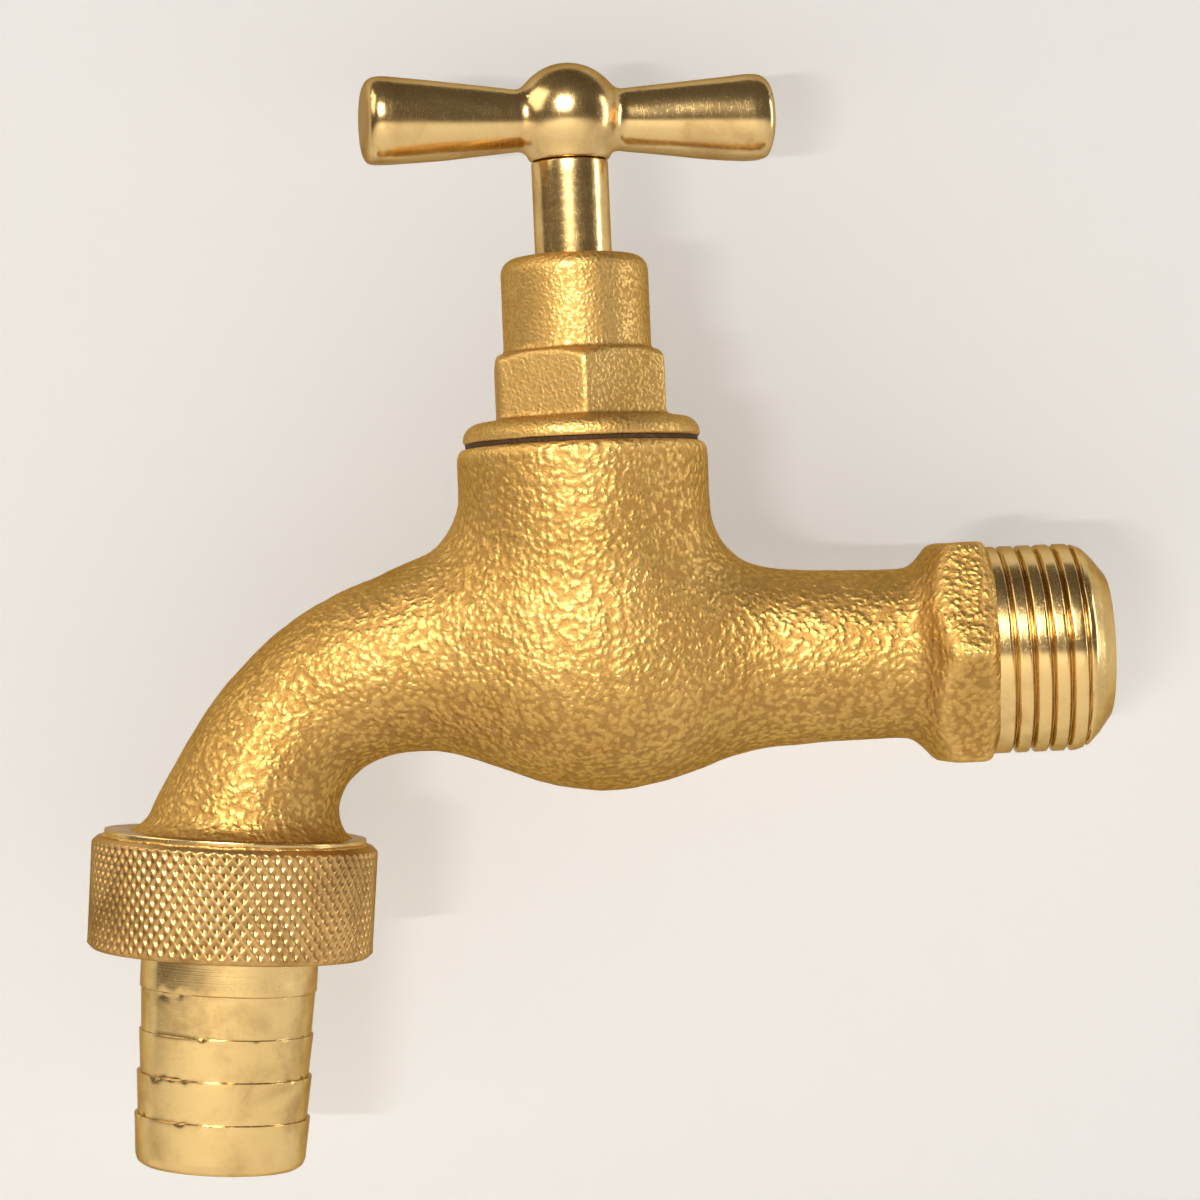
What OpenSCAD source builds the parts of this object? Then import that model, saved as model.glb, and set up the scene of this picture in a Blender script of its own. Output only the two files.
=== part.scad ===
// Brass garden tap with a screwed inlet, a rising spindle, a T handle and a hose union.
// Millimetres. +Z is up along the spindle, +X runs along the inlet towards the supply pipe.
// The origin is on the inlet axis, where the inlet thread leaves the hexagon collar.

/* [Inlet] */
// Major diameter of the half-inch pipe thread
inlet_thread_d = 20.955; // [20.9:0.005:21]
// Length of the inlet thread from the collar to its end
inlet_thread_l = 12.4; // [9:0.1:14]
// Bore of the inlet waterway
inlet_bore_d = 12.6; // [11:0.2:13]
// Across the flats of the hexagon collar
collar_af = 22; // [21:0.1:24]
// Length of the hexagon collar
collar_l = 6.6; // [5:0.2:8]
// Diameter of the round branch behind the collar
branch_d = 17.1; // [16:0.1:18]

/* [Valve chamber and neck] */
// From the collar's face to the axis of the spindle
neck_x = 39.75; // [38:0.1:42]
// Outside diameter of the neck that the bonnet screws into
neck_d = 25.4; // [25:0.1:26]
// Height of the neck's top face above the inlet axis
neck_top = 22.5; // [22:0.1:23.6]
// Bore of the neck, where the bonnet screws in
neck_bore_d = 20; // [19.6:0.1:20.4]
// Height of the valve seat above the inlet axis
seat_z = 4.5; // [4.2:0.1:4.8]
// Hole through the valve seat
seat_hole_d = 9.2; // [8:0.2:10]
// Radius that blends the chamber into the branch and the spout
blend = 9; // [6:0.5:11]

/* [Outlet] */
// From the collar's face to the outlet axis, measured on the inlet axis
outlet_x = 75; // [74:0.1:76]
// Lean of the outlet axis away from the wall, in degrees
outlet_tilt = 5.15; // [4:0.05:6]
// Diameter of the flange above the union nut
flange_d = 27.5; // [27:0.1:28]
// Major diameter of the three-quarter-inch pipe thread on the outlet
nipple_d = 26.44; // [26.3:0.02:26.6]
// Length of the outlet nipple below the flange
nipple_l = 6; // [5:0.5:7]

/* [Bonnet] */
// Diameter of the bonnet's flange
bonnet_flange_d = 24.1; // [23.5:0.1:25]
// Across the flats of the bonnet's hexagon
bonnet_af = 16.7; // [16.5:0.1:18]
// Diameter of the bonnet's upper barrel
barrel_d = 15; // [14.5:0.1:16]
// Height of the bonnet's top face above the inlet axis
bonnet_top = 41.6; // [40.5:0.1:42]
// Turn of the hexagon about the spindle, in degrees
bonnet_turn = 4; // [-30:1:30]

/* [Spindle and handle] */
// Diameter of the spindle where it leaves the bonnet
stem_d = 7.8; // [7.4:0.1:8.2]
// Major diameter of the spindle's thread
spindle_thread_d = 11; // [10.6:0.1:11.4]
// Diameter of the ball in the middle of the handle
ball_d = 11.1; // [10.2:0.1:11.2]
// Height of the ball's centre above the inlet axis
ball_z = 55.7; // [55:0.1:57]
// Length of the handle over its two ends
handle_l = 42; // [40:0.5:46]
// Diameter of each arm beside the ball
arm_root_d = 6.2; // [5.8:0.1:6.6]
// Diameter of each arm at its end
arm_end_d = 9.1; // [8.6:0.1:9.6]
// Turn of the shut handle about the spindle, in degrees
handle_turn = 13; // [-45:1:45]

/* [Valve] */
// Diameter of the valve plate and its washer
valve_d = 14; // [13:0.2:14.4]
// Thickness of the rubber washer
valve_washer_t = 3; // [2.6:0.1:3.2]

/* [Hose union] */
// Outside diameter over the knurl of the union nut
nut_d = 28.9; // [28.7:0.1:29.6]
// Distance down the outlet axis to the nut's top
nut_top = 16; // [16:0.05:16.2]
// Distance down the outlet axis to the nut's underside
nut_end = 27.3; // [26.8:0.1:27.6]
// Outside diameter of the hose tail's neck
tail_d = 17.86; // [17.6:0.02:18]
// Bore of the hose tail
tail_bore_d = 13; // [12:0.2:13.6]
// Distance down the outlet axis to the first barb
barb_start = 31; // [30.5:0.1:31.5]
// Spacing of the barbs
barb_pitch = 4.23; // [4:0.01:4.4]
// Distance down the outlet axis to the end of the tail
tail_end = 48.8; // [48.2:0.1:50]

/* [Hidden] */
$fn = 96;

cast_brass = [0.62, 0.45, 0.20];
turned_brass = [0.78, 0.60, 0.28];
rubber = [0.10, 0.10, 0.10];
fibre = [0.62, 0.22, 0.16];

// Small gap of a running fit, and the gap between faces that only meet
fit = 0.05;
// Length that one solid reaches into the next so that they join
lap = 0.4;

// Casting
cast_wall = 2.4;                     // wall of the spout
neck_skin = 0.25;                    // step between the blended skin and the turned neck
chamber_r = neck_d / 2 - neck_skin;  // radius of the chamber's round bottom
chamber_z = 0.65;                    // height of its centre
chamber_lean = 0.08;                 // how far its bottom leans towards the inlet, for each mm down
skin_top = 17;                       // where the blended skin stops inside the neck
ring_n = 48;                         // points round each section of the skin
cavity_n = 28;                       // points round each section of the spout's cavity
branch_lift = 0.08;                  // how far the cast branch lies above the inlet axis
branch_draft = 0.28;                 // how much its radius grows towards the chamber
spout_in = neck_x + 18.4;            // where the spout starts to bend

// Outlet, measured down its own axis
flare_s = 12.6;                      // start of the flare above the flange
flare_end = 15.85;                   // end of the blended skin, inside the flange
flange_s = 15.7;                     // top of the flange
flange_end = 15.95;                  // underside of the flange
nipple_end = flange_end + nipple_l;
nipple_bore = 17;
seal_t = 1.8;                        // thickness of the tail washer
tail_flange_s = nipple_end + seal_t;
tail_flange_t = 1.6;
tail_flange_r = 12;

// Waterways
channel_r = 4.2;
upper_chamber_r = 9.3;
upper_floor = seat_z - 1.3;

// Bonnet and spindle heights
gasket_t = 0.4;
flange_z = neck_top + gasket_t;
hex_z = flange_z + 2.15;
hex_top = 31.9;
skirt_z = 15.2;
spindle_z = seat_z + valve_washer_t + 2.5 + fit;
shoulder_z = 26;
bonnet_step = 31;
o_ring_z = [31.5, 34.2];
o_ring_t = 1.8;
o_ring_seat_r = stem_d / 2 - 1;

// Mixes a and b, a point on a smooth curve with two handles, and a soft step from 0 to 1
function mix(a, b, t) = a + (b - a) * t;
function bezier(p, t) = pow(1 - t, 3) * p[0] + 3 * t * pow(1 - t, 2) * p[1]
    + 3 * t * t * (1 - t) * p[2] + pow(t, 3) * p[3];
function clamp(t) = min(1, max(0, t));
function soft(t) = let (u = clamp(t)) u * u * (3 - 2 * u);

// A section of the casting is [top, bottom, half width], with both points in the XZ plane
// The branch runs straight through the chamber and opens out towards the spout
function run_section(x) =
    let (
        k = soft((-x - neck_x + 13) / 27),
        r = branch_d / 2 + branch_draft * soft((-x - 8) / 14)
    )
    [[x, mix(r + branch_lift, 11, k)], [x, mix(-r + branch_lift, -7.6, k)], mix(r, 9.1, k)];

// A point r to the right of the outlet axis, s down it
function outlet_point(r, s) = [
    -outlet_x - s * sin(outlet_tilt) + r * cos(outlet_tilt),
    -s * cos(outlet_tilt) - r * sin(outlet_tilt)
];

// The spout bends between an outer and an inner curve
outer_r = 8.4;
inner_r = 10.3;
outer_rail = [[-spout_in, 10.95], [-72.45, 7.25], [-78.05, -0.45], outlet_point(-outer_r, flare_s)];
inner_rail = [[-spout_in + 1.6, -7.7], [-62.3, -7.6], [-65.3, -9.9], outlet_point(inner_r, flare_s)];
function spout_section(t) =
    [bezier(outer_rail, t), bezier(inner_rail, t), mix(mix(9.1, 8.1, soft(2 * t)), 9.3, soft(2 * t - 1))];

// The flare is a cove that opens from the spout's end to the flange
function flare_section(u) =
    let (
        s = mix(flare_s, flare_end, u),
        open = 1 - sqrt(1 - u * u),
        r_end = flange_d / 2 - 0.3
    )
    [outlet_point(-mix(outer_r, r_end, open), s), outlet_point(mix(inner_r, r_end, open), s), mix(9.3, r_end, open)];

// Middle, upward direction and half height of a section
function middle(q) = (q[0] + q[1]) / 2;
function upward(q) = (q[0] - q[1]) / norm(q[0] - q[1]);
function half_height(q) = norm(q[0] - q[1]) / 2;
function ring_point(q, a, r) =
    let (c = middle(q), v = upward(q))
    [c[0] + r * cos(a) * v[0], r * sin(a), c[1] + r * cos(a) * v[1]];
function oval(q, a, inset) =
    let (h = half_height(q) - inset, w = q[2] - inset)
    h * w / norm([w * cos(a), h * sin(a)]);

// Distance outside the round-bottomed valve chamber, and the blend of two distances
function chamber_gap(p) =
    let (below = max(chamber_z - p[2], 0))
    norm([p[0] + neck_x - chamber_lean * below, p[1], below]) - chamber_r;
function blended(a, b) = let (h = max(blend - abs(a - b), 0) / blend) min(a, b) - h * h * blend / 4;
function skin_gap(q, a, r) =
    let (p = ring_point(q, a, r))
    max(blended(r - oval(q, a, 0), chamber_gap(p)), p[2] - skin_top);

// The skin is found along each ray of a section by halving
function halve(q, a, low, high, n) =
    n == 0 ? (low + high) / 2
    : let (m = (low + high) / 2) skin_gap(q, a, m) < 0 ? halve(q, a, m, high, n - 1) : halve(q, a, low, m, n - 1);
// Angle 0 is straight up, and the rays lie closer together there, where the neck joins
function ray(t) = 360 * t - 20 * sin(360 * t);
function skin_ring(q) = [
    for (i = [0 : ring_n - 1]) let (a = ray(i / ring_n)) ring_point(q, a, halve(q, a, 3, 24, 18))
];
function plain_ring(q, inset) = [
    for (i = [0 : cavity_n - 1]) let (a = 360 * i / cavity_n) ring_point(q, a, oval(q, a, inset))
];

// Joins rings of points into one closed solid
module loft(rings) {
    n = len(rings[0]);
    last = len(rings) - 1;
    sides = [
        for (k = [0 : last - 1], i = [0 : n - 1])
            let (j = (i + 1) % n, a = k * n, b = (k + 1) * n)
            each [[a + i, b + i, b + j], [a + i, b + j, a + j]]
    ];
    start = [[for (i = [0 : n - 1]) i]];
    end = [[for (i = [0 : n - 1]) last * n + n - 1 - i]];
    polyhedron(points = [for (r = rings) each r], faces = concat(sides, start, end), convexity = 6);
}

// The skin's sections lie closer together where the neck rises out of the run
wall_steps = [0.25, 0.7, 1.4, 2.4, 3.7, 5.4];
outside_right = [for (i = [len(wall_steps) - 1 : -1 : 0]) -neck_x + chamber_r + wall_steps[i]];
outside_left = [for (d = wall_steps) if (d < 5) -neck_x - chamber_r - d];
across = [
    for (a = [84, 76, 67, 57, 46, 33, 17, 0, -17, -33, -46, -57, -67, -76, -84]) -neck_x + chamber_r * sin(a)
];
run_places = concat([-collar_l + 1, -12, -17], outside_right, across, outside_left);
skin_sections = concat(
    [for (x = run_places) run_section(x)],
    [for (i = [0 : 11]) spout_section(i / 12)],
    [for (u = [0, 0.3, 0.52, 0.7, 0.84, 0.94, 1]) flare_section(u)]
);
cavity_sections = concat(
    [for (x = [-neck_x - 8.4, -neck_x - 12, -neck_x - 15]) run_section(x)],
    [for (i = [0 : 9]) spout_section(i / 9)],
    [flare_section(0.6)]
);

// Turns its child so that +Z runs down the outlet and starts s along it
module down_outlet(s = 0) {
    translate([-outlet_x, 0, 0]) rotate([0, 180 + outlet_tilt, 0]) translate([0, 0, s]) children();
}

// A cylinder along the inlet, from x0 to x1
module along_inlet(x0, x1, r) {
    translate([x0, 0, 0]) rotate([0, 90, 0]) cylinder(h = x1 - x0, r = r);
}

// Hexagonal prism with its corners turned off at the top, at the bottom or at both
module turned_hex(af, h, cut_low, cut_high) {
    corner = af / sqrt(3);
    intersection() {
        cylinder(h = h, r = corner, $fn = 6);
        rotate_extrude() polygon([
            [0, 0], [corner - cut_low, 0], [corner + 0.2, (cut_low + 0.2) * 0.6],
            [corner + 0.2, h - (cut_high + 0.2) * 0.6], [corner - cut_high, h], [0, h]
        ]);
    }
}

// Round post with a rounded top edge
module rounded_post(r, h, round) {
    rotate_extrude() {
        square([r - round, h]);
        square([r, h - round]);
        translate([r - round, h - round]) intersection() {
            circle(r = round);
            square(round);
        }
    }
}

module ring(r_in, r_out, h) {
    difference() {
        cylinder(h = h, r = r_out);
        translate([0, 0, -lap]) cylinder(h = h + 2 * lap, r = r_in);
    }
}

module collar() {
    corner = collar_af / sqrt(3);
    intersection() {
        translate([-collar_l - 1.4, 0, 0]) rotate([90, 0, 90])
            cylinder(h = collar_l + 1.4, r = corner, $fn = 6);
        translate([-collar_l - 1.4, 0, 0]) rotate([0, 90, 0]) rotate_extrude() polygon([
            [0, 0.5], [branch_d / 2 + 0.2, 0.5], [branch_d / 2 + 0.7, 1.3], [corner - 1.2, 3.2],
            [corner + 0.2, 4.6], [corner + 0.2, collar_l + 0.9], [corner - 0.8, collar_l + 1.4],
            [0, collar_l + 1.4]
        ]);
    }
}

module inlet_thread() {
    r = inlet_thread_d / 2;
    rotate([0, 90, 0]) rotate_extrude() polygon([
        [0, -lap], [r, -lap], [r, inlet_thread_l - 3.5], [r - 0.5, inlet_thread_l - 2.3],
        [r - 1.5, inlet_thread_l - 1.3], [r - 3.2, inlet_thread_l], [0, inlet_thread_l]
    ]);
}

module neck() {
    translate([-neck_x, 0, -2]) rotate_extrude() polygon([
        [0, 0], [neck_d / 2, 0], [neck_d / 2, neck_top + 1.4], [neck_d / 2 - 0.5, neck_top + 2],
        [0, neck_top + 2]
    ]);
}

module outlet_end() {
    down_outlet(flange_s) cylinder(h = flange_end - flange_s, r = flange_d / 2);
    down_outlet(flange_end - 0.3) rotate_extrude() polygon([
        [0, 0], [nipple_d / 2, 0], [nipple_d / 2, nipple_l - 0.6], [nipple_d / 2 - 0.9, nipple_l + 0.3],
        [0, nipple_l + 0.3]
    ]);
}

// The supply side stops under the seat and the spout side starts above it, with a web between
module waterways() {
    along_inlet(-neck_x + 12.3, inlet_thread_l + 1, inlet_bore_d / 2);
    translate([-neck_x + 15.6, 0, -1.8]) rotate([0, -99, 0]) cylinder(h = 16.5, r = channel_r);
    translate([-neck_x, 0, -4.3]) sphere(r = 5);
    translate([-neck_x, 0, -4.3]) cylinder(h = seat_z + 5, r = seat_hole_d / 2);
    translate([-neck_x, 0, 0]) difference() {
        translate([0, 0, upper_floor]) cylinder(h = neck_top, r = upper_chamber_r);
        translate([0, 0, upper_floor - lap]) ring(seat_hole_d / 2, seat_hole_d / 2 + 1.3, 1.3 + lap);
    }
    translate([-neck_x, 0, 14.4]) cylinder(h = neck_top, r = neck_bore_d / 2);
    loft([for (q = cavity_sections) plain_ring(q, cast_wall)]);
    down_outlet(flare_s + 1.4) cylinder(h = nipple_end, r = nipple_bore / 2);
}

module body() {
    color(cast_brass) difference() {
        union() {
            loft([for (q = skin_sections) skin_ring(q)]);
            collar();
            inlet_thread();
            neck();
            outlet_end();
        }
        waterways();
    }
}

module bonnet() {
    color(cast_brass) translate([-neck_x, 0, 0]) difference() {
        union() {
            translate([0, 0, skirt_z]) cylinder(h = neck_top - skirt_z + 1, r = neck_bore_d / 2 - fit);
            translate([0, 0, flange_z]) rounded_post(bonnet_flange_d / 2, hex_z - flange_z, 1.8);
            translate([0, 0, hex_z - lap]) rotate(90 + bonnet_turn)
                turned_hex(bonnet_af, hex_top - hex_z + lap, 0, 1.5);
            translate([0, 0, hex_top - 1]) rounded_post(barrel_d / 2, bonnet_top - hex_top + 1, 1.7);
        }
        translate([0, 0, skirt_z - 1]) cylinder(h = bonnet_step - skirt_z + 1, r = spindle_thread_d / 2 + fit);
        translate([0, 0, bonnet_step - 1]) cylinder(h = bonnet_top, r = stem_d / 2 + fit);
    }
}

module bonnet_gasket() {
    color(fibre) translate([-neck_x, 0, neck_top]) ring(neck_bore_d / 2 + fit, neck_d / 2 - 0.9, gasket_t);
}

module spindle() {
    stem_r = stem_d / 2;
    tenon_r = 2.75;
    color(turned_brass) translate([-neck_x, 0, 0]) difference() {
        union() {
            translate([0, 0, spindle_z]) cylinder(h = shoulder_z - spindle_z, r = spindle_thread_d / 2);
            cylinder_from(shoulder_z - lap, ball_z - 4.2, stem_r);
            cylinder_from(ball_z - 4.2 - lap, ball_z + 1.6, tenon_r);
        }
        for (z = o_ring_z) translate([0, 0, z]) ring(o_ring_seat_r, stem_r + 1, o_ring_t);
        cylinder_from(spindle_z - 1, spindle_z + 7.4, 2.5 + fit);
    }
}

module cylinder_from(z0, z1, r) {
    translate([0, 0, z0]) cylinder(h = z1 - z0, r = r);
}

module spindle_o_ring(z) {
    r = (stem_d / 2 - o_ring_seat_r) / 2;
    color(rubber) translate([-neck_x, 0, z + o_ring_t / 2]) rotate_extrude()
        translate([o_ring_seat_r + r, 0]) circle(r = r, $fn = 32);
}

module spindle_o_ring_lower() {
    spindle_o_ring(o_ring_z[0]);
}

module spindle_o_ring_upper() {
    spindle_o_ring(o_ring_z[1]);
}

// One forged piece: a ball with two arms that widen outwards
module t_handle() {
    arm = handle_l / 2;
    arm_drop = 0.25;
    color(turned_brass) translate([-neck_x, 0, ball_z]) difference() {
        union() {
            sphere(r = ball_d / 2);
            translate([0, 0, -4.4]) cylinder(h = 2, r = 3.9);
            for (side = [0, 180]) translate([0, 0, -arm_drop]) rotate([0, 90, side + handle_turn])
                rotate_extrude() polygon([
                    [0, 0], [arm_root_d / 2, 0], [arm_root_d / 2, 5], [arm_end_d / 2, arm - 2.4],
                    [arm_end_d / 2, arm - 1.1], [arm_end_d / 2 - 1, arm], [0, arm]
                ]);
        }
        translate([0, 0, -6]) cylinder(h = 7.7, r = 2.75);
        translate([0, 0, -6.2]) cylinder(h = 2, r = 4.6);
    }
}

module jumper() {
    plate_z = seat_z + valve_washer_t;
    color(turned_brass) translate([-neck_x, 0, 0]) {
        cylinder_from(plate_z, plate_z + 2.5, valve_d / 2);
        cylinder_from(plate_z + 2, plate_z + 9, 2.5);
        cylinder_from(seat_z - 2.2, plate_z + lap, 1.9);
    }
}

module valve_washer() {
    color(rubber) translate([-neck_x, 0, seat_z]) ring(1.9, valve_d / 2, valve_washer_t);
}

module washer_nut() {
    color(turned_brass) translate([-neck_x, 0, seat_z - 1.8]) difference() {
        turned_hex(5.5, 1.8, 0.4, 0);
        translate([0, 0, -1]) cylinder(h = 4, r = 1.9);
    }
}

module tail_washer() {
    color(rubber) down_outlet(nipple_end) ring(nipple_bore / 2 - 1, tail_flange_r, seal_t);
}

// Barbs: each has a sharp upper edge and tapers towards the end of the tail
module hose_tail() {
    neck_r = tail_d / 2;
    crest = [neck_r - 0.14, neck_r - 0.14, neck_r - 0.1, neck_r - 0.08];
    drop = 0.3;
    barbs = [
        for (i = [0 : 3]) let (s = barb_start + i * barb_pitch)
            each i < 3 ? [[crest[i], s], [crest[i] - drop + 0.1 * (i == 0 ? 1 : 0), s + barb_pitch]] : [[crest[i], s]]
    ];
    color(turned_brass) down_outlet() difference() {
        union() {
            rotate_extrude() polygon(concat(
                [[0, tail_flange_s], [neck_r, tail_flange_s], [neck_r, barb_start]],
                barbs,
                [[neck_r - 0.35, tail_end - 1], [neck_r - 0.55, tail_end - 0.4], [neck_r - 1.1, tail_end],
                 [0, tail_end]]
            ));
            translate([0, 0, tail_flange_s]) cylinder(h = tail_flange_t, r = tail_flange_r);
        }
        translate([0, 0, tail_flange_s - 1]) cylinder(h = tail_end, r = tail_bore_d / 2);
    }
}

module union_nut() {
    h = nut_end - nut_top;
    r = nut_d / 2;
    chamfer = 0.6;
    lip = nut_end - tail_flange_s - tail_flange_t - fit;
    color(cast_brass) down_outlet(nut_top) difference() {
        rotate_extrude() polygon([
            [0, 0], [r - chamfer, 0], [r, chamfer], [r, h - chamfer], [r - chamfer, h], [0, h]
        ]);
        translate([0, 0, -1]) cylinder(h = h - lip + 1, r = nipple_d / 2 + fit);
        cylinder(h = h + 1, r = tail_d / 2 + 0.2);
    }
}

body();
bonnet();
bonnet_gasket();
spindle();
spindle_o_ring_lower();
spindle_o_ring_upper();
t_handle();
jumper();
valve_washer();
washer_nut();
tail_washer();
hose_tail();
union_nut();
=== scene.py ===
# %% [markdown]
# # A garden tap in cast, turned and knurled brass
# The tap comes as an exact CAD model with all its parts in place. This lesson keeps those places
# and gives each part the surface it has in real life: a blasted casting, turned threads, a
# diamond knurl, a forged handle and a barbed hose tail. First the fixed frame is loaded.

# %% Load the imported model
import math

import bmesh
import bpy
import numpy as np
from mathutils import Matrix, Vector, noise


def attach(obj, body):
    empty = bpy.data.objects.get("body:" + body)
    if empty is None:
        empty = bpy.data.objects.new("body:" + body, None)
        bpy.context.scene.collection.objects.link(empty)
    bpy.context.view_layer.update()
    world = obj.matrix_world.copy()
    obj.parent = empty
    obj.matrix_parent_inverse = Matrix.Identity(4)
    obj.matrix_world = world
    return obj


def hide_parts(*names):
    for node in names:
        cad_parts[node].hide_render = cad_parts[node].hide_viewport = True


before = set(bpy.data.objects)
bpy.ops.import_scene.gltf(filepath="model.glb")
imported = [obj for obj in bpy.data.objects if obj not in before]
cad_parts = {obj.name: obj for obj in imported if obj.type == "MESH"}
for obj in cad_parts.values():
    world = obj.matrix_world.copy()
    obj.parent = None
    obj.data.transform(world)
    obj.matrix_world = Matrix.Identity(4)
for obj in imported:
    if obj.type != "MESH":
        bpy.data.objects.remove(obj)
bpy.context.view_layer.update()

mm = 0.001

# %% [markdown]
# ## Camera
# A camera could be placed by eye, but here the lens and the place are measured values. The
# camera stands about 35 cm in front of the tap, almost level, with a long lens, and it is rolled
# by about two and a half degrees.

# %% Camera
camera_place = Vector((-40.34, -347.15, 5.61)) * mm
camera_pitch, camera_yaw, camera_roll = 0.003315, -0.005141, 0.042669
sensor = 36.0
lens = 102.84


def camera_axes(pitch, yaw, roll):
    """Right, up and backward directions of a camera that looks along +Y when all three are zero."""
    flat_right = Vector((math.cos(yaw), math.sin(yaw), 0))
    forward = Vector((-math.sin(yaw) * math.cos(pitch), math.cos(yaw) * math.cos(pitch), math.sin(pitch)))
    flat_up = flat_right.cross(forward)
    right = flat_right * math.cos(roll) - flat_up * math.sin(roll)
    up = flat_right * math.sin(roll) + flat_up * math.cos(roll)
    return right, up, -forward


camera_data = bpy.data.cameras.new("camera")
camera_data.sensor_width = sensor
camera_data.lens = lens
camera = bpy.data.objects.new("camera", camera_data)
bpy.context.scene.collection.objects.link(camera)
turn = Matrix(camera_axes(camera_pitch, camera_yaw, camera_roll)).transposed()
camera.matrix_world = Matrix.Translation(camera_place) @ turn.to_4x4()
bpy.context.scene.camera = camera
print("camera looks along", [round(c, 3) for c in -Vector(turn.col[2])])

# %% [markdown]
# ## Helpers for meshes
# Turned parts are a closed outline, spun once round its axis. `lathe` does that, and rounds each
# corner of the outline by its own radius, as a lathe tool or a deburring brush leaves it.


# %% Outline and lathe
def rounded_outline(points, arc_steps=4):
    """Replaces each corner (r, h, radius) of a closed outline by a small arc."""
    outline = []
    count = len(points)
    for i, (r, h, radius) in enumerate(points):
        corner = Vector((r, h))
        before = Vector(points[i - 1][:2]) - corner
        after = Vector(points[(i + 1) % count][:2]) - corner
        if radius <= 0:
            outline.append(corner)
            continue
        half = before.angle(after) / 2
        reach = min(radius / math.tan(half), 0.48 * before.length, 0.48 * after.length)
        start, end = corner + before.normalized() * reach, corner + after.normalized() * reach
        for k in range(arc_steps + 1):
            t = k / arc_steps
            outline.append(start * (1 - t) ** 2 + corner * 2 * t * (1 - t) + end * t * t)
    return outline


def divided(outline, longest):
    """Adds points so that no edge of the closed outline is longer than this."""
    result = []
    for i, a in enumerate(outline):
        b = outline[(i + 1) % len(outline)]
        pieces = max(1, math.ceil((b - a).length / longest))
        result += [a.lerp(b, k / pieces) for k in range(pieces)]
    return result


def lathe(outline, steps):
    """Spins a closed outline of (r, h) points in millimetres round the local Z axis."""
    bm = bmesh.new()
    verts = [bm.verts.new((p[0] * mm, 0, p[1] * mm)) for p in outline]
    edges = [bm.edges.new((verts[i - 1], verts[i])) for i in range(len(verts))]
    bmesh.ops.spin(bm, geom=verts + edges, cent=(0, 0, 0), axis=(0, 0, 1), dvec=(0, 0, 0),
                   angle=2 * math.pi, steps=steps, use_merge=True, use_normal_flip=False,
                   use_duplicate=False)
    bmesh.ops.remove_doubles(bm, verts=bm.verts, dist=1e-7)
    bmesh.ops.recalc_face_normals(bm, faces=bm.faces)
    return bm


def finish_piece(bm, name, place=None, body=None, node=None):
    """Makes an object of a bmesh with its place in the mesh, and ties it to the frame."""
    if place is not None:
        bmesh.ops.transform(bm, matrix=place, verts=bm.verts)
    mesh = bpy.data.meshes.new(name)
    bm.to_mesh(mesh)
    bm.free()
    mesh.shade_smooth()
    piece = bpy.data.objects.new(name, mesh)
    bpy.context.scene.collection.objects.link(piece)
    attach(piece, body)
    if node:
        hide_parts(node)
    triangles = sum(len(p.vertices) - 2 for p in mesh.polygons)
    print(name, "has", triangles, "triangles")
    return piece


def sharpen(piece, angle):
    """Keeps an edge sharp where the surface turns by more than this angle."""
    piece.data.set_sharp_from_angle(angle=math.radians(angle))


# %% [markdown]
# ## Places
# The spindle stands on its own upright axis, and the hose union hangs on an axis that leans a
# little away from the wall. Turned parts are made on the world's Z axis and moved there as meshes.

# %% Axes of the tap
neck_x = 39.75
outlet_x = 75.0
outlet_tilt = 5.15
on_spindle = Matrix.Translation((-neck_x * mm, 0, 0))
on_inlet = Matrix.Rotation(math.radians(90), 4, "Y")
on_outlet = (Matrix.Translation((-outlet_x * mm, 0, 0))
             @ Matrix.Rotation(math.radians(180 + outlet_tilt), 4, "Y"))
print("outlet axis:", [round(c, 4) for c in on_outlet.to_3x3() @ Vector((0, 0, 1))])

# %% [markdown]
# ## The casting
# A sand casting that has been shot-blasted has no sharp edge anywhere, and its skin is slightly
# lumpy. Modelling each fillet would be slow. A copy of the CAD body is turned into an even skin of
# small squares instead (a voxel remesh), and that skin is relaxed a few times, which rounds each
# edge as casting does. Machined places, such as the rim of the neck, are relaxed less.


# %% Even skin of a CAD part
def copy_of_node(node):
    bm = bmesh.new()
    bm.from_mesh(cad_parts[node].data)
    bmesh.ops.remove_doubles(bm, verts=bm.verts, dist=1e-6)
    return bm


def even_skin(bm, voxel):
    """Remeshes a closed bmesh into squares of one size and gives a new bmesh back."""
    mesh = bpy.data.meshes.new("rough")
    bm.to_mesh(mesh)
    bm.free()
    rough = bpy.data.objects.new("rough", mesh)
    bpy.context.scene.collection.objects.link(rough)
    remesh = rough.modifiers.new("skin", "REMESH")
    remesh.mode = "VOXEL"
    remesh.voxel_size = voxel * mm
    evaluated = rough.evaluated_get(bpy.context.evaluated_depsgraph_get())
    result = bmesh.new()
    result.from_mesh(evaluated.to_mesh())
    bpy.data.objects.remove(rough)
    bpy.data.meshes.remove(mesh)
    return result


def relax(bm, verts, times):
    for _ in range(times):
        bmesh.ops.smooth_vert(bm, verts=verts, factor=0.5, use_axis_x=True, use_axis_y=True,
                              use_axis_z=True)


def lump(bm, verts, size, height, seed):
    """Moves points along their normals by smooth noise, so that the skin isn't perfect."""
    bm.normal_update()
    shift = Vector((seed, 2 * seed, 3 * seed))
    moves = [v.normal * (noise.noise(v.co / (size * mm) + shift) * height * mm) for v in verts]
    for v, move in zip(verts, moves):
        v.co += move


def store_relief(bm, passes):
    """Stores how far each point stands out of the smoothed surface, in millimetres. The materials use it
    to paint shade into hollows and a highlight onto raised places.
    """
    bm.normal_update()
    before = [v.co.copy() for v in bm.verts]
    normals = [v.normal.copy() for v in bm.verts]
    relax(bm, bm.verts, passes)
    layer = bm.verts.layers.float.new("relief")
    for v, co, normal in zip(bm.verts, before, normals):
        v[layer] = (co - v.co).dot(normal) / mm
        v.co = co


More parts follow.
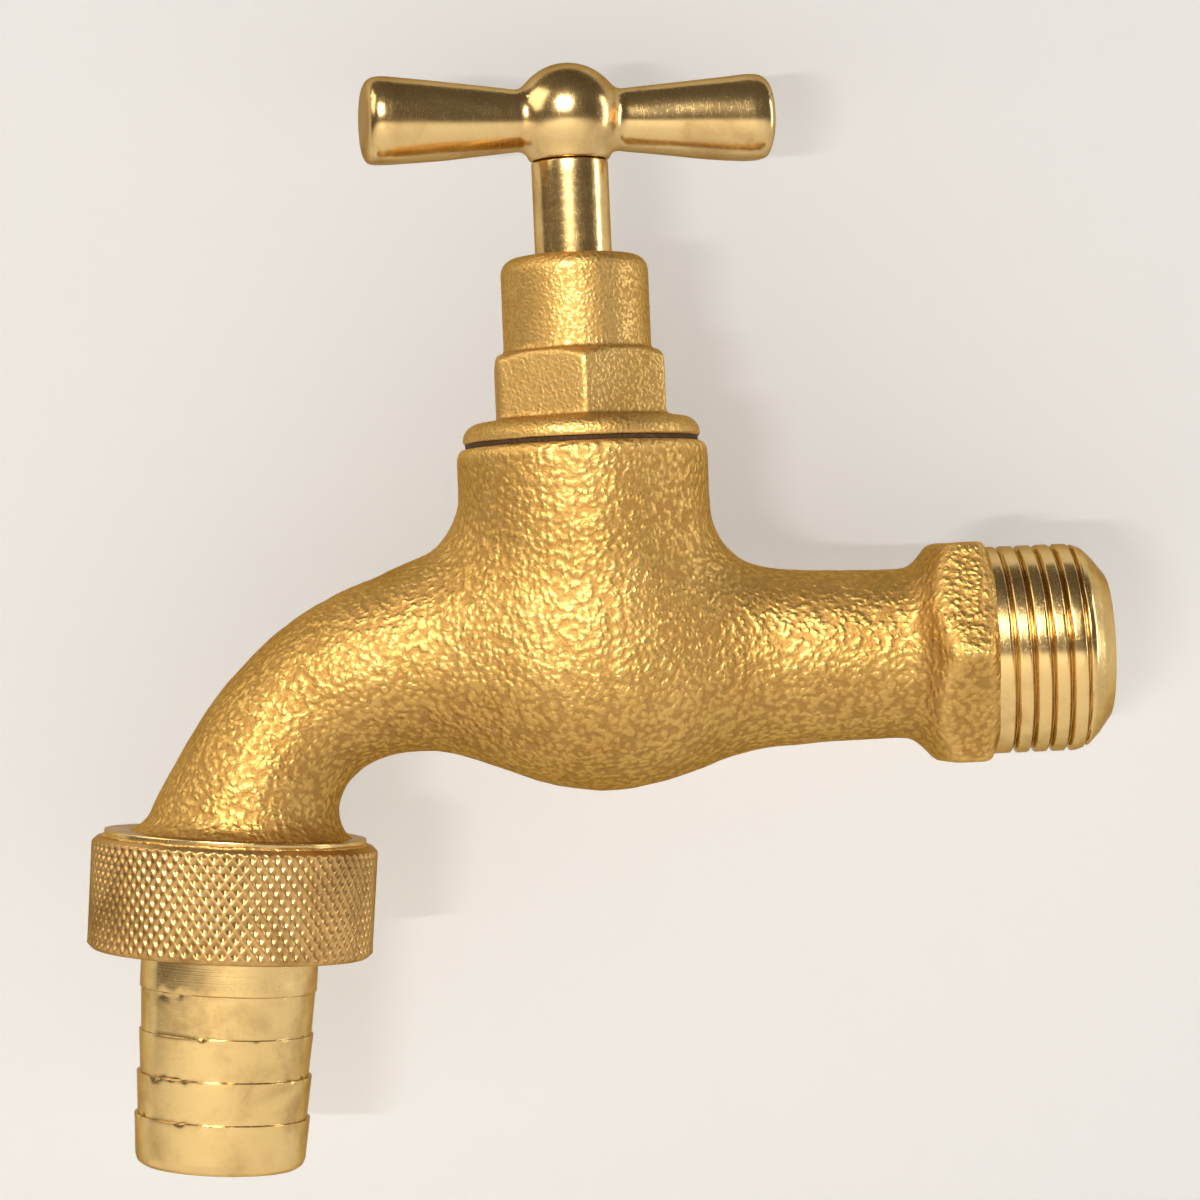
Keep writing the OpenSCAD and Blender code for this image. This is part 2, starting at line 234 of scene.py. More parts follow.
# %% Cast body
cast_end = 0.9
neck_top = 22.5
skin = copy_of_node("body")
thread_plane = bmesh.ops.bisect_plane(
    skin, geom=skin.verts[:] + skin.edges[:] + skin.faces[:], dist=1e-7,
    plane_co=(cast_end * mm, 0, 0), plane_no=(1, 0, 0), clear_outer=True)
cut_edges = [e for e in thread_plane["geom_cut"] if isinstance(e, bmesh.types.BMEdge)]
bmesh.ops.holes_fill(skin, edges=[e for e in skin.edges if e.is_boundary], sides=0)
skin = even_skin(skin, 0.42)
print("casting:", len(skin.verts), "points after the remesh")


def outlet_distance(co):
    """Distance down the outlet axis, in millimetres."""
    return ((on_outlet.inverted() @ co).z) / mm


def machined(co):
    return (co.z > (neck_top - 1.6) * mm and co.x < -20 * mm) or outlet_distance(co) > 14.9


cast_verts = [v for v in skin.verts if not machined(v.co)]
machined_verts = [v for v in skin.verts if machined(v.co)]
relax(skin, skin.verts, 2)
relax(skin, cast_verts, 6)
lump(skin, cast_verts, 4.5, 0.10, 3)
lump(skin, cast_verts, 1.6, 0.05, 8)
store_relief(skin, 12)
cast_body = finish_piece(skin, "cast_body", None, "tap_body", "body")

# %% [markdown]
# ## Threads
# A thread could be a helix swept along a path, but its ends are then hard to close. Here the
# blank is turned first, as on a lathe, with rows of points close together. The thread is then cut
# by moving each point inwards along a helix, and the cut fades out where the die ran out.


# %% Thread cutter
def cut_thread(bm, crest_r, pitch, depth, start, end, fade, phase=0.0, land=0.62):
    """Cuts a right-hand thread into the outside of a turned blank that stands on the Z axis."""
    for v in bm.verts:
        x, y, h = v.co / mm
        r = math.hypot(x, y)
        if r < crest_r - 3.3 or not start <= h <= end or r < 1e-6:
            continue
        turn_place = (h / pitch - math.atan2(y, x) / (2 * math.pi) + phase) % 1.0
        beside = abs(turn_place - 0.5) * 2
        groove = min(1.0, max(0.0, (1 - land / 2 - (1 - beside)) / (1 - land / 2) * 1.0))
        groove = 1 - min(1.0, beside / (1 - land))
        groove = groove * groove * (3 - 2 * groove)
        near_start = min(1.0, max(0.0, (h - start) / fade))
        floor_r = crest_r - depth * groove * near_start
        crown = 0.06 * (beside - 1) ** 2 * near_start
        if r > floor_r:
            scale = (floor_r - crown) / r
            v.co.x *= scale
            v.co.y *= scale


# %% Inlet thread
inlet_r = 10.4775
inlet_l = 12.4
inlet_bore_r = 6.3
inlet_outline = divided(rounded_outline([
    (inlet_bore_r, -0.6, 0), (inlet_r, -0.6, 0), (inlet_r, inlet_l - 3.5, 2.0),
    (inlet_r - 0.5, inlet_l - 2.3, 1.0), (inlet_r - 1.5, inlet_l - 1.3, 1.0),
    (inlet_r - 3.2, inlet_l, 0.3), (inlet_bore_r, inlet_l, 0.3)]), 0.15)
inlet = lathe(inlet_outline, 160)
cut_thread(inlet, inlet_r, 1.814, 0.75, 0.9, inlet_l, 1.6, phase=0.1)
store_relief(inlet, 8)
inlet_thread = finish_piece(inlet, "inlet_thread", on_inlet, "tap_body", "body")

# %% Outlet thread, seen when the union nut is undone
nipple_r = 13.22
outlet_outline = divided(rounded_outline([
    (8.6, 15.3, 0), (nipple_r - 0.02, 15.3, 0), (nipple_r - 0.02, 21.35, 0.2),
    (nipple_r - 0.9, 21.95, 0.2), (8.6, 21.95, 0)]), 0.2)
outlet = lathe(outlet_outline, 160)
cut_thread(outlet, nipple_r - 0.02, 1.814, 0.85, 16.4, 21.95, 0.8)
store_relief(outlet, 8)
outlet_thread = finish_piece(outlet, "outlet_thread", on_outlet, "tap_body", "body")

# %% [markdown]
# ## Bonnet
# The bonnet is turned from hexagon bar and then tumbled, so its edges are only slightly soft. The
# same remesh serves, with smaller squares and less relaxing than the casting had.

# %% Bonnet
bonnet_skin = even_skin(copy_of_node("bonnet"), 0.24)
relax(bonnet_skin, bonnet_skin.verts, 4)
lump(bonnet_skin, bonnet_skin.verts, 3.0, 0.03, 5)
store_relief(bonnet_skin, 14)
bonnet = finish_piece(bonnet_skin, "bonnet_part", None, "tap_body", "bonnet")

# %% [markdown]
# ## Handle
# The T handle is one forging: a ball, two arms that open outwards, and a short socket on the
# stem. Its shape is written as distances to these simple forms, joined by a soft minimum. A
# remeshed copy of the CAD part is then pulled onto that shape, point by point, which gives exact
# arms and small clean fillets at once.

# %% Handle
ball_r = 5.55
ball_z = 55.7
arm_drop = 0.25
arm_half = 21.0
arm_turn = 13
arm_root_r, arm_end_r = 3.1, 4.55


def smooth_min(a, b, k):
    h = np.maximum(k - np.abs(a - b), 0) / k
    return np.minimum(a, b) - h * h * k / 4


def handle_distance(p):
    """Distance outside the forging for points in millimetres from the ball's centre."""
    c, s = math.cos(math.radians(arm_turn)), math.sin(math.radians(arm_turn))
    along = p[:, 0] * c + p[:, 1] * s
    across = -p[:, 0] * s + p[:, 1] * c
    radius = np.hypot(across, p[:, 2] + arm_drop)
    out = np.abs(along)
    widen = (arm_end_r - arm_root_r) / (arm_half - 2.4 - 5)
    wall = arm_root_r + np.clip(out - 5, 0, arm_half - 7.4) * widen
    arms = -smooth_min(-(radius - wall), -(out - arm_half), 1.7)
    ball = np.linalg.norm(p, axis=1) - ball_r
    socket = -smooth_min(-(np.hypot(p[:, 0], p[:, 1]) - 4.0), p[:, 2] + 4.45, 0.5)
    joined = smooth_min(smooth_min(ball, arms, 0.9), np.maximum(socket, p[:, 2]), 0.8)
    flat_under_ball = -(p[:, 2] + 4.45)
    hole = 2.75 - np.hypot(p[:, 0], p[:, 1])
    hole = np.maximum(hole, p[:, 2] - 1.7)
    shape = -smooth_min(-joined, -flat_under_ball, 0.35)
    return np.maximum(shape, np.where(p[:, 2] < 1.7, hole, shape))


def pull_onto(bm, distance, centre, rounds):
    """Moves every point along the gradient until its distance is zero."""
    co = np.array([v.co[:] for v in bm.verts]) / mm - np.array(centre)
    step = 0.02
    for _ in range(rounds):
        d = distance(co)
        grad = np.stack([(distance(co + step * axis) - distance(co - step * axis)) / (2 * step)
                         for axis in np.eye(3)], axis=1)
        size = np.maximum((grad ** 2).sum(axis=1), 0.05)
        move = -(d / size)[:, None] * grad
        length = np.maximum(np.linalg.norm(move, axis=1), 1e-9)
        co += move * np.minimum(1, 0.25 / length)[:, None]
    for v, p in zip(bm.verts, co + np.array(centre)):
        v.co = Vector(p) * mm


handle_skin = even_skin(copy_of_node("t_handle"), 0.24)
relax(handle_skin, handle_skin.verts, 2)
pull_onto(handle_skin, handle_distance, (-neck_x, 0, ball_z), 5)
lump(handle_skin, handle_skin.verts, 5.0, 0.05, 4)
store_relief(handle_skin, 12)
handle = finish_piece(handle_skin, "handle_forging", None, "handle_spindle", "t_handle")

# %% [markdown]
# ## Stem
# The stem is a plain turned rod between the bonnet and the handle. Its outline holds the two
# grooves for the o-rings, and its thread stays hidden in the bonnet.

# %% Stem
stem_r = 3.9
stem_outline = rounded_outline([
    (2.55, 10.05, 0), (5.5, 10.05, 0.2), (5.5, 26, 0.3), (stem_r, 26, 0.1), (stem_r, 31.5, 0.05),
    (2.9, 31.5, 0.1), (2.9, 33.3, 0.1), (stem_r, 33.3, 0.05), (stem_r, 34.2, 0.05), (2.9, 34.2, 0.1),
    (2.9, 36.0, 0.1), (stem_r, 36.0, 0.05), (stem_r, 51.2, 0.2), (2.7, 51.2, 0), (2.7, 57.2, 0.2),
    (0.001, 57.2, 0), (0.001, 17.45, 0), (2.55, 17.45, 0)], 3)
stem_blank = lathe(divided(stem_outline, 1.2), 96)
store_relief(stem_blank, 4)
stem = finish_piece(stem_blank, "stem", on_spindle, "handle_spindle", "spindle")
sharpen(stem, 40)

# %% [markdown]
# ## Knurled union nut
# A diamond knurl is pressed by two wheels whose teeth lean left and right. It could be a bump map,
# but the outline of a nut shows real teeth. The blank is turned with a fine grid, and each point is
# pushed in by its distance from the nearest raised line of either family.

# %% Union nut
nut_r = 14.45
nut_top, nut_end = 16.0, 27.3
knurl_lines = 74
knurl_rise = 1.56
knurl_depth = 0.33
nut_bore_r, nut_hole_r = 13.27, 9.13
lip_top = 25.8
nut_outline = rounded_outline([
    (nut_hole_r, nut_end, 0.1), (nut_r - 0.6, nut_end, 0.35), (nut_r, nut_end - 0.6, 0.2),
    (nut_r, nut_top + 0.55, 0.1), (nut_r - 0.6, nut_top, 0.2), (nut_bore_r, nut_top, 0.2),
    (nut_bore_r, lip_top - 0.6, 0.1), (nut_bore_r - 0.4, lip_top - 0.05, 0.1),
    (nut_hole_r, lip_top - 0.05, 0.1)])
outer = [p for p in divided(nut_outline, knurl_rise / 8)]
nut_blank = lathe(outer, knurl_lines * 8)
for v in nut_blank.verts:
    x, y, h = v.co / mm
    r = math.hypot(x, y)
    if r < nut_r - 0.55:
        continue
    around = math.atan2(y, x) / (2 * math.pi) * knurl_lines
    up = (h - nut_top) / knurl_rise
    lines = [abs(((around + side * up) % 1.0) - 0.5) * 2 for side in (-1, 1)]
    pit = 1 - max(lines)
    floor_r = nut_r - knurl_depth * min(1.0, pit * 1.25) - 0.03
    if r > floor_r:
        v.co.x *= floor_r / r
        v.co.y *= floor_r / r
store_relief(nut_blank, 6)
union_nut = finish_piece(nut_blank, "knurled_nut", on_outlet, "nut", "union_nut")

# %% [markdown]
# ## Hose tail
# The barbs have one sharp edge each, which holds the hose. The outline is exact, and small dents
# along those edges, made by noise, stand for the knocks of the bin in which the part was carried.

# %% Hose tail
tail_r = 8.93
tail_bore_r = 6.5
barb_start, barb_pitch = 31.0, 4.23
tail_end = 48.8
flange_s = 23.75
crests = [tail_r - 0.14, tail_r - 0.14, tail_r - 0.1, tail_r - 0.08]
tail_points = [(tail_bore_r, flange_s, 0.1), (12.0, flange_s, 0.1), (12.0, flange_s + 1.6, 0.1),
               (tail_r, flange_s + 1.6, 0.1), (tail_r, barb_start - 0.12, 0.08),
               (tail_r - 0.14, barb_start, 0.05)]
for i in range(3):
    s = barb_start + (i + 1) * barb_pitch
    root = crests[i] - 0.3 + (0.1 if i == 0 else 0)
    tail_points += [(root, s - 0.02, 0.04), (crests[i + 1], s, 0.04)]
tail_points += [(tail_r - 0.35, tail_end - 1.0, 0.6), (tail_r - 0.55, tail_end - 0.4, 0.4),
                (tail_r - 1.1, tail_end, 0.3), (tail_bore_r, tail_end, 0.3)]
tail_blank = lathe(divided(rounded_outline(tail_points, 3), 0.45), 200)
for v in tail_blank.verts:
    x, y, h = v.co / mm
    r = math.hypot(x, y)
    if r < tail_r - 0.6 or h < barb_start - 0.4:
        continue
    to_edge = min(abs(h - barb_start - i * barb_pitch) for i in range(4))
    dent = max(0.0, noise.noise(v.co / (1.1 * mm)) - 0.18) * 0.35 * math.exp(-(to_edge / 0.35) ** 2)
    v.co.x *= 1 - dent / r
    v.co.y *= 1 - dent / r
store_relief(tail_blank, 6)
hose_tail = finish_piece(tail_blank, "barbed_tail", on_outlet, "tail", "hose_tail")
sharpen(hose_tail, 35)

# %% [markdown]
# ## Shared effects for the brass
# Each effect is a node group with named sockets, so that every material can use it at its own
# strength. Groups give out only masks, heights and colours. The shader stays in each material.


# %% Node helpers
def new_group(name, inputs, outputs):
    group = bpy.data.node_groups.new(name, "ShaderNodeTree")
    for socket, kind, value in inputs:
        made = group.interface.new_socket(socket, in_out="INPUT", socket_type=kind)
        if value is not None:
            made.default_value = value
    for socket, kind in outputs:
        group.interface.new_socket(socket, in_out="OUTPUT", socket_type=kind)
    return group, group.nodes.new("NodeGroupInput"), group.nodes.new("NodeGroupOutput")


class Graph:
    """Short words for the nodes that this lesson uses."""

    def __init__(self, tree):
        self.tree = tree

    def put(self, socket, value):
        if isinstance(value, bpy.types.NodeSocket):
            self.tree.links.new(value, socket)
        elif value is not None:
            socket.default_value = value

    def node(self, kind, inputs=None, **settings):
        made = self.tree.nodes.new(kind)
        for key, value in settings.items():
            setattr(made, key, value)
        for key, value in (inputs or {}).items():
            self.put(made.inputs[key], value)
        return made

    def math(self, operation, a, b=None, c=None, clamp=False):
        made = self.node("ShaderNodeMath", operation=operation, use_clamp=clamp)
        for socket, value in zip(made.inputs, (a, b, c)):
            self.put(socket, value)
        return made.outputs[0]

    def ramp(self, value, low, high, out_low=0.0, out_high=1.0):
        made = self.node("ShaderNodeMapRange", {"Value": value, "From Min": low, "From Max": high,
                                                "To Min": out_low, "To Max": out_high},
                         interpolation_type="SMOOTHSTEP")
        return made.outputs["Result"]

    def noise(self, place, scale, detail=2.0, rough=0.5, distortion=0.0):
        made = self.node("ShaderNodeTexNoise", {"Vector": place, "Scale": scale, "Detail": detail,
                                                "Roughness": rough, "Distortion": distortion})
        return made.outputs["Fac"]

    def mix(self, factor, a, b):
        made = self.node("ShaderNodeMix", data_type="RGBA", clamp_factor=True)
        self.put(made.inputs[0], factor)
        self.put(made.inputs[6], a)
        self.put(made.inputs[7], b)
        return made.outputs[2]

    def group(self, tree, inputs):
        made = self.node("ShaderNodeGroup", node_tree=tree)
        for key, value in inputs.items():
            self.put(made.inputs[key], value)
        return made


# %% [markdown]
# ### Cast grain
# Blasted brass looks like fine leather: rounded grains of about 0.6 mm with wrinkles between
# them. Smooth cells of a Voronoi pattern, bent by noise, give that, and a finer noise adds sparkle.
# The blasted materials darken the wrinkles as painted shade.

# %% Cast grain group
cast_grain, into, out = new_group(
    "cast grain",
    [("Place", "NodeSocketVector", None), ("Grain", "NodeSocketFloat", 1500.0),
     ("Fine", "NodeSocketFloat", 0.35)],
    [("Height", "NodeSocketFloat"), ("Wrinkle", "NodeSocketFloat"), ("Patch", "NodeSocketFloat")])
g = Graph(cast_grain)
bend = g.node("ShaderNodeTexNoise", {"Vector": into.outputs["Place"], "Scale": 900.0, "Detail": 2.0})
bend_small = g.node("ShaderNodeVectorMath", {0: bend.outputs["Color"], 1: (0.0006, 0.0006, 0.0006)},
                    operation="MULTIPLY")
bent = g.node("ShaderNodeVectorMath", {0: into.outputs["Place"], 1: bend_small.outputs[0]},
              operation="ADD").outputs[0]
cells = g.node("ShaderNodeTexVoronoi", {"Vector": bent, "Scale": into.outputs["Grain"],
                                        "Smoothness": 0.6}, feature="SMOOTH_F1")
grain_scale = g.math("MULTIPLY", into.outputs["Grain"], 0.9)
soft = g.noise(bent, grain_scale, 1.5, 0.55)
fine_scale = g.math("MULTIPLY", into.outputs["Grain"], 3.1)
fine = g.noise(into.outputs["Place"], fine_scale, 2.0, 0.6)
round_grain = g.ramp(cells.outputs["Distance"], 0.75, 0.1)
coarse = g.math("MULTIPLY_ADD", soft, 0.9, g.math("MULTIPLY", round_grain, 0.55))
height = g.math("MULTIPLY_ADD", g.math("SUBTRACT", fine, 0.5), into.outputs["Fine"], coarse)
g.put(out.inputs["Height"], height)
# Wrinkle: the low places of the grain. They are roughened, and the blasted materials darken them as
# painted shade.
g.put(out.inputs["Wrinkle"], g.ramp(height, 0.85, 0.45))
g.put(out.inputs["Patch"], g.noise(into.outputs["Place"], 110.0, 3.0, 0.55))

# %% [markdown]
# ### Turning lines
# A lathe tool leaves fine rings round the axis. They are noise that changes only along the axis:
# the place is measured along that direction alone, so the rings stay level on a round part.

# %% Turning lines group
turning, into, out = new_group(
    "turning lines",
    [("Place", "NodeSocketVector", None), ("Axis", "NodeSocketVector", (0, 0, 1)),
     ("Lines", "NodeSocketFloat", 9000.0)],
    [("Height", "NodeSocketFloat"), ("Band", "NodeSocketFloat")])
g = Graph(turning)
along = g.node("ShaderNodeVectorMath", {0: into.outputs["Place"], 1: into.outputs["Axis"]},
               operation="DOT_PRODUCT").outputs["Value"]
rings = g.node("ShaderNodeTexNoise", {"W": along, "Scale": into.outputs["Lines"], "Detail": 3.0,
                                      "Roughness": 0.65}, noise_dimensions="1D")
bands = g.node("ShaderNodeTexNoise", {"W": along, "Scale": 420.0, "Detail": 2.0},
               noise_dimensions="1D")
g.put(out.inputs["Height"], rings.outputs["Fac"])
g.put(out.inputs["Band"], bands.outputs["Fac"])

# %% [markdown]
# ### Handling marks
# Thin scratches run in all directions. Two stretched noises, crossed, are cut off so high that only
# thin short lines remain. Tarnish is a slow, soft noise.

# %% Handling marks group
marks, into, out = new_group(
    "handling marks",
    [("Place", "NodeSocketVector", None), ("Amount", "NodeSocketFloat", 0.5)],
    [("Scratch", "NodeSocketFloat"), ("Tarnish", "NodeSocketFloat")])
g = Graph(marks)
found = None
for turn_angle, stretch in ((0.5, (2600.0, 300.0, 2600.0)), (-0.9, (2100.0, 1900.0, 260.0))):
    turned = g.node("ShaderNodeMapping", {"Vector": into.outputs["Place"],
                                          "Rotation": (turn_angle, 0.7 * turn_angle, turn_angle),
                                          "Scale": stretch})
    lines = g.noise(turned.outputs["Vector"], 1.0, 1.0, 0.4)
    thin = g.ramp(g.math("ABSOLUTE", g.math("SUBTRACT", lines, 0.62)), 0.012, 0.002)
    found = thin if found is None else g.math("MAXIMUM", found, thin)
g.put(out.inputs["Scratch"], g.math("MULTIPLY", found, into.outputs["Amount"], clamp=True))
g.put(out.inputs["Tarnish"], g.noise(into.outputs["Place"], 160.0, 4.0, 0.6, 0.4))


# %% [markdown]
# ## Materials
# All surfaces are brass, so Metallic is 1 and Base Color is the colour of the reflection. Bright
# brass is pale gold. Where it is blasted, shade is painted dark brown into the wrinkles and hollows,
# and a highlight is painted paler onto the raised tops. Turned parts get painted shade in their hollows.

# %% Material helper
def new_material(name, roughness):
    material = bpy.data.materials.new(name)
    material.use_nodes = True
    tree = material.node_tree
    shader = tree.nodes["Principled BSDF"]
    shader.inputs["Metallic"].default_value = 1.0
    shader.inputs["Roughness"].default_value = roughness
    shader.inputs["Specular Tint"].default_value = (0.5, 0.38, 0.24, 1)
    g = Graph(tree)
    place = g.node("ShaderNodeTexCoord").outputs["Object"]
    relief = g.node("ShaderNodeAttribute", attribute_name="relief").outputs["Fac"]
    return material, g, shader, place, relief


def dress(piece, material):
    piece.data.materials.clear()
    piece.data.materials.append(material)


# %% Blasted casting
def blasted(name, grain, depth, bright, mid, dark, roughness):
    material, g, shader, place, relief = new_material(name, roughness)
    surface = g.group(cast_grain, {"Place": place, "Grain": grain})
    wear = g.group(marks, {"Place": place, "Amount": 0.3})
    tone = g.mix(g.ramp(surface.outputs["Patch"], 0.35, 0.7, 0.0, 0.5), mid, bright)
    # Painted shade: the grain's wrinkles are darkened towards the dark colour.
    tone = g.mix(g.math("MULTIPLY", surface.outputs["Wrinkle"], 0.45), tone, dark)
    # Painted highlight: raised places of the relief are made paler towards the bright colour.
    tone = g.mix(g.ramp(relief, 0.02, 0.16, 0.0, 0.6), tone, bright)
    # Painted shade: hollows of the relief are made darker towards the dark colour.
    tone = g.mix(g.ramp(relief, -0.03, -0.2, 0.0, 0.6), tone, dark)
    g.put(shader.inputs["Base Color"], tone)
    rough = g.math("MULTIPLY_ADD", surface.outputs["Wrinkle"], 0.22, roughness)
    g.put(shader.inputs["Roughness"], g.math("MULTIPLY_ADD", wear.outputs["Tarnish"], 0.12, rough))
    bump = g.node("ShaderNodeBump", {"Height": surface.outputs["Height"], "Distance": depth * mm,
                                     "Strength": 1.0})
    g.put(shader.inputs["Normal"], bump.outputs["Normal"])
    return material


cast_brass = blasted("cast_brass", 1500.0, 0.16, (0.74, 0.49, 0.17, 1), (0.55, 0.34, 0.10, 1),
                     (0.22, 0.11, 0.03, 1), 0.34)
bonnet_brass = blasted("bonnet_brass", 2600.0, 0.05, (0.72, 0.49, 0.19, 1), (0.55, 0.35, 0.11, 1),
                       (0.26, 0.14, 0.04, 1), 0.34)
dress(cast_body, cast_brass)
dress(bonnet, bonnet_brass)


# %% Turned and polished brass
def turned_finish(name, axis, lines, depth, colour, tarnish_and_shade, roughness, scratch=0.4):
    material, g, shader, place, relief = new_material(name, roughness)
    rings = g.group(turning, {"Place": place, "Axis": axis, "Lines": lines})
    wear = g.group(marks, {"Place": place, "Amount": scratch})
    tone = g.mix(g.ramp(wear.outputs["Tarnish"], 0.42, 0.75, 0.0, 0.6), colour, tarnish_and_shade)
    # Painted shade: hollows of the relief, such as thread grooves, knurl pits and fillets, are darkened
    # towards the tarnish colour.
    tone = g.mix(g.ramp(relief, -0.02, -0.15, 0.0, 0.7), tone, tarnish_and_shade)
    g.put(shader.inputs["Base Color"], tone)
    rough = g.math("MULTIPLY_ADD", rings.outputs["Band"], 0.10, roughness - 0.05)
    rough = g.math("MULTIPLY_ADD", wear.outputs["Tarnish"], 0.10, rough)
    g.put(shader.inputs["Roughness"], g.math("MULTIPLY_ADD", wear.outputs["Scratch"], 0.2, rough))
    height = g.math("SUBTRACT", rings.outputs["Height"], wear.outputs["Scratch"])
    bump = g.node("ShaderNodeBump", {"Height": height, "Distance": depth * mm, "Strength": 1.0})
    g.put(shader.inputs["Normal"], bump.outputs["Normal"])
    return material


brass_gold = (0.80, 0.58, 0.26, 1)
# The colour of real tarnish, also used as painted shade in the hollows of turned parts.
brass_tarnish_and_shade = (0.36, 0.20, 0.07, 1)
outlet_axis = tuple(on_outlet.to_3x3() @ Vector((0, 0, 1)))
thread_brass = turned_finish("thread_brass", (1, 0, 0), 9000.0, 0.004, brass_gold, brass_tarnish_and_shade, 0.16)
stem_brass = turned_finish("stem_brass", (0, 0, 1), 9000.0, 0.003, brass_gold, brass_tarnish_and_shade, 0.17)
handle_brass = turned_finish("handle_brass", (0.2, 0.1, 1), 300.0, 0.002, (0.72, 0.52, 0.24, 1),
                             brass_tarnish_and_shade, 0.16)
tail_brass = turned_finish("tail_brass", outlet_axis, 8000.0, 0.004, brass_gold, brass_tarnish_and_shade, 0.15)
nipple_brass = turned_finish("nipple_brass", outlet_axis, 8000.0, 0.004, brass_gold, brass_tarnish_and_shade, 0.2)
nut_brass = turned_finish("nut_brass", outlet_axis, 8000.0, 0.006, (0.60, 0.38, 0.15, 1),
                          (0.20, 0.10, 0.03, 1), 0.3)
dress(inlet_thread, thread_brass)
dress(outlet_thread, nipple_brass)
dress(stem, stem_brass)
dress(handle, handle_brass)
dress(hose_tail, tail_brass)
dress(union_nut, nut_brass)

# %% [markdown]
# ## Hidden parts
# The jumper, its washer and nut, the seals and the gasket keep their CAD shapes. They get simple
# finishes of their own, because they show when the part is taken apart or cut open.


# %% Rubber and fibre
def soft_finish(name, colour, pale, roughness, size):
    material, g, shader, place, relief = new_material(name, roughness)
    shader.inputs["Metallic"].default_value = 0.0
    speckle = g.noise(place, size, 3.0, 0.6)
    g.put(shader.inputs["Base Color"], g.mix(g.ramp(speckle, 0.4, 0.75), colour, pale))
    g.put(shader.inputs["Roughness"], g.math("MULTIPLY_ADD", speckle, 0.2, roughness - 0.1))
    bump = g.node("ShaderNodeBump", {"Height": speckle, "Distance": 0.02 * mm, "Strength": 1.0})
    g.put(shader.inputs["Normal"], bump.outputs["Normal"])
    return material


rubber = soft_finish("rubber", (0.018, 0.018, 0.018, 1), (0.05, 0.05, 0.048, 1), 0.6, 2500.0)
fibre = soft_finish("fibre", (0.03, 0.016, 0.01, 1), (0.07, 0.04, 0.025, 1), 0.75, 3500.0)
for node in ("spindle_o_ring_lower", "spindle_o_ring_upper", "valve_washer", "tail_washer"):
    dress(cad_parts[node], rubber)
dress(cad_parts["bonnet_gasket"], fibre)
for node in ("jumper", "washer_nut"):
    dress(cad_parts[node], stem_brass)
print("materials:", sorted(m.name for m in bpy.data.materials))

# %% [markdown]
# ## Floor, backdrop and light
# Metal shows what stands round it. A pale card stands close behind the tap and takes its shadow,
# and a pale floor lies below. The card is see-through from behind, so that the back of the tap can
# be looked at too. The card has its own lamp, low on the left, which throws the shadow up to the
# right. The key lamp for the metal hangs above the camera, where the bright streaks say it is.


# %% Floor and backdrop
def plain_surface(name, colour, own_light=0.0, see_through_back=False):
    material = bpy.data.materials.new(name)
    material.use_nodes = True
    g = Graph(material.node_tree)
    shader = material.node_tree.nodes["Principled BSDF"]
    shader.inputs["Base Color"].default_value = colour
    shader.inputs["Roughness"].default_value = 0.9
    shader.inputs["Specular IOR Level"].default_value = 0.1
    surface = shader.outputs["BSDF"]
    if own_light:
        path = g.node("ShaderNodeLightPath").outputs
        seen = g.math("MAXIMUM", g.math("MAXIMUM", path["Is Camera Ray"], path["Is Glossy Ray"]),
                      path["Is Transmission Ray"])
        shader.inputs["Emission Color"].default_value = (1, 1, 1, 1)
        g.put(shader.inputs["Emission Strength"], g.math("MULTIPLY", seen, own_light))
    if see_through_back:
        clear = g.node("ShaderNodeBsdfTransparent").outputs[0]
        back = g.node("ShaderNodeNewGeometry").outputs["Backfacing"]
        surface = g.node("ShaderNodeMixShader", {0: back, 1: surface, 2: clear}).outputs[0]
    g.put(material.node_tree.nodes["Material Output"].inputs["Surface"], surface)
    return material


def flat_sheet(name, corners, material):
    bm = bmesh.new()
    bm.faces.new([bm.verts.new(Vector(c) * mm) for c in corners])
    mesh = bpy.data.meshes.new(name)
    bm.to_mesh(mesh)
    bm.free()
    sheet = bpy.data.objects.new(name, mesh)
    bpy.context.scene.collection.objects.link(sheet)
    dress(sheet, material)
    return sheet


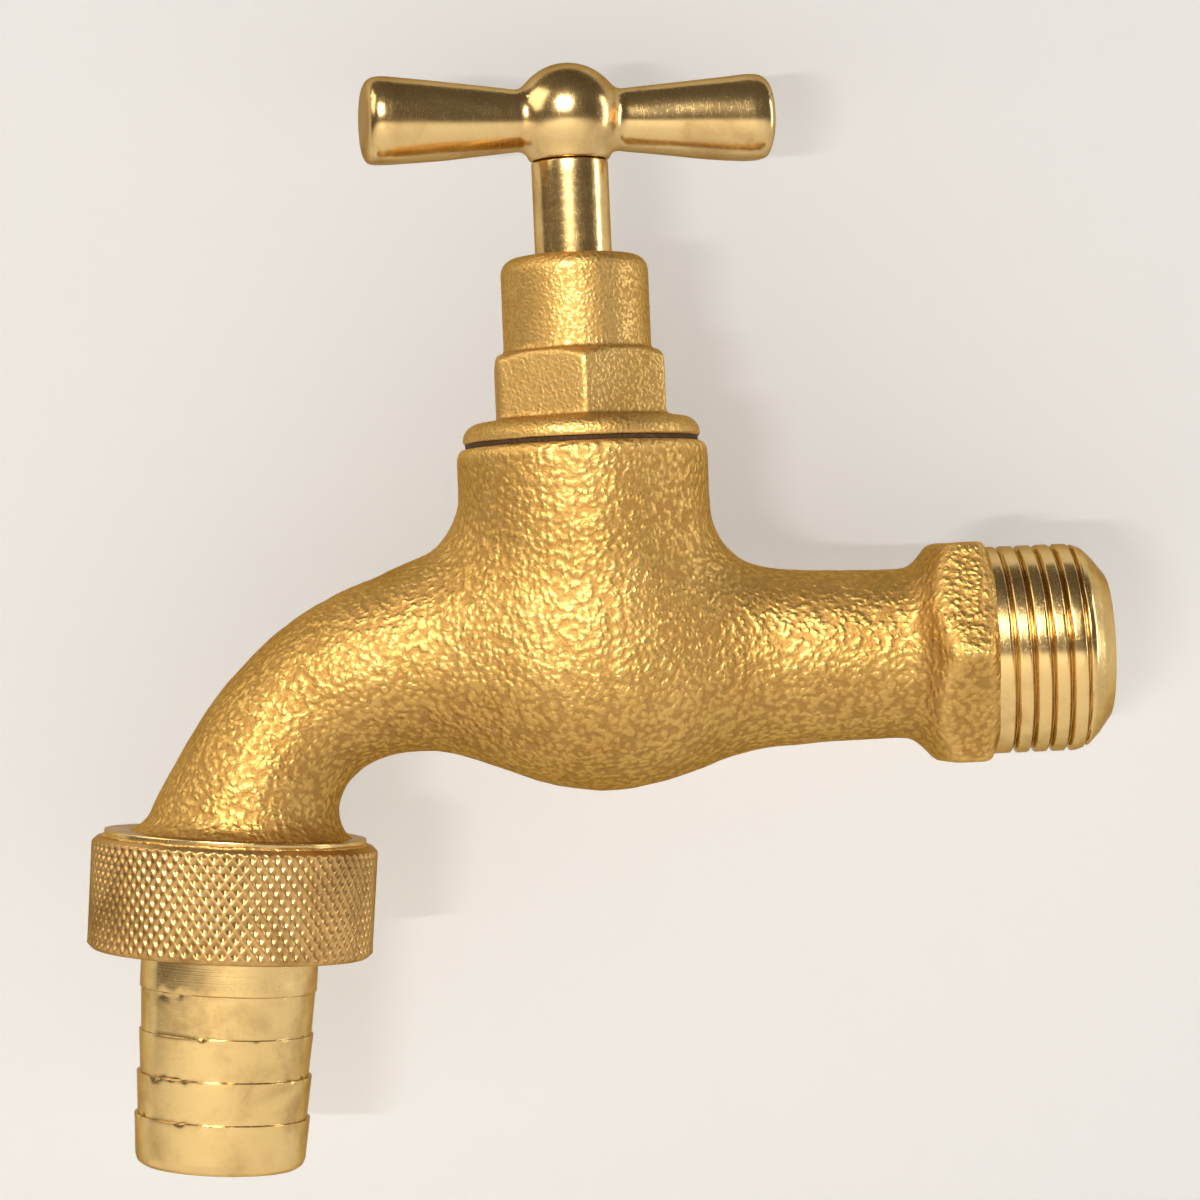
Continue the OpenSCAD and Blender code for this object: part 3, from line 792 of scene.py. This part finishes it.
floor_z, card_y = -78, 30
floor = flat_sheet("floor", [(-1500, -1500, floor_z), (1500, -1500, floor_z), (1500, 1500, floor_z),
                             (-1500, 1500, floor_z)], plain_surface("floor_white", (0.8, 0.8, 0.8, 1)))
card = flat_sheet("card", [(-240, card_y, floor_z), (160, card_y, floor_z), (160, card_y, 130),
                           (-240, card_y, 130)],
                  plain_surface("card_white", (0.82, 0.82, 0.82, 1), 0.3, True))

# %% World and lamps
world = bpy.data.worlds.new("studio")
world.use_nodes = True
bpy.context.scene.world = world
world.node_tree.nodes["Background"].inputs["Color"].default_value = (1.0, 0.86, 0.7, 1)
world.node_tree.nodes["Background"].inputs["Strength"].default_value = 0.13


def soft_lamp(name, azimuth, height, distance, width, tall, watts, colour=(1, 1, 1), only=(), without=()):
    """A rectangular lamp that looks at the tap. Azimuth 0 is in front of it, 90 at its right."""
    data = bpy.data.lights.new(name, "AREA")
    data.shape = "RECTANGLE"
    data.size, data.size_y = width, tall
    data.energy = watts
    data.color = colour
    lamp = bpy.data.objects.new(name, data)
    bpy.context.scene.collection.objects.link(lamp)
    a, e = math.radians(azimuth), math.radians(height)
    out = Vector((math.sin(a) * math.cos(e), -math.cos(a) * math.cos(e), math.sin(e)))
    lamp.matrix_world = (Matrix.Translation(Vector((-0.035, 0, 0.005)) + out * distance)
                         @ out.to_track_quat("Z", "Y").to_matrix().to_4x4())
    if only or without:
        receivers = bpy.data.collections.new(name + " receivers")
        for thing in only or without:
            receivers.objects.link(thing)
        lamp.light_linking.receiver_collection = receivers
        for link in receivers.collection_objects:
            link.light_linking.link_state = "INCLUDE" if only else "EXCLUDE"
    return lamp


soft_lamp("key", -8, 27, 0.8, 0.30, 0.28, 9.0, (1.0, 0.93, 0.82), without=(card,))
soft_lamp("right strip", 88, 10, 0.6, 0.08, 0.5, 1.2, without=(card,))
soft_lamp("left fill", -75, 35, 0.8, 0.5, 0.5, 2.0, (1.0, 0.9, 0.75), without=(card,))
soft_lamp("card lamp", -14, -9, 0.9, 0.14, 0.14, 14.0, only=(card,))
bpy.context.scene.view_settings.view_transform = "Standard"
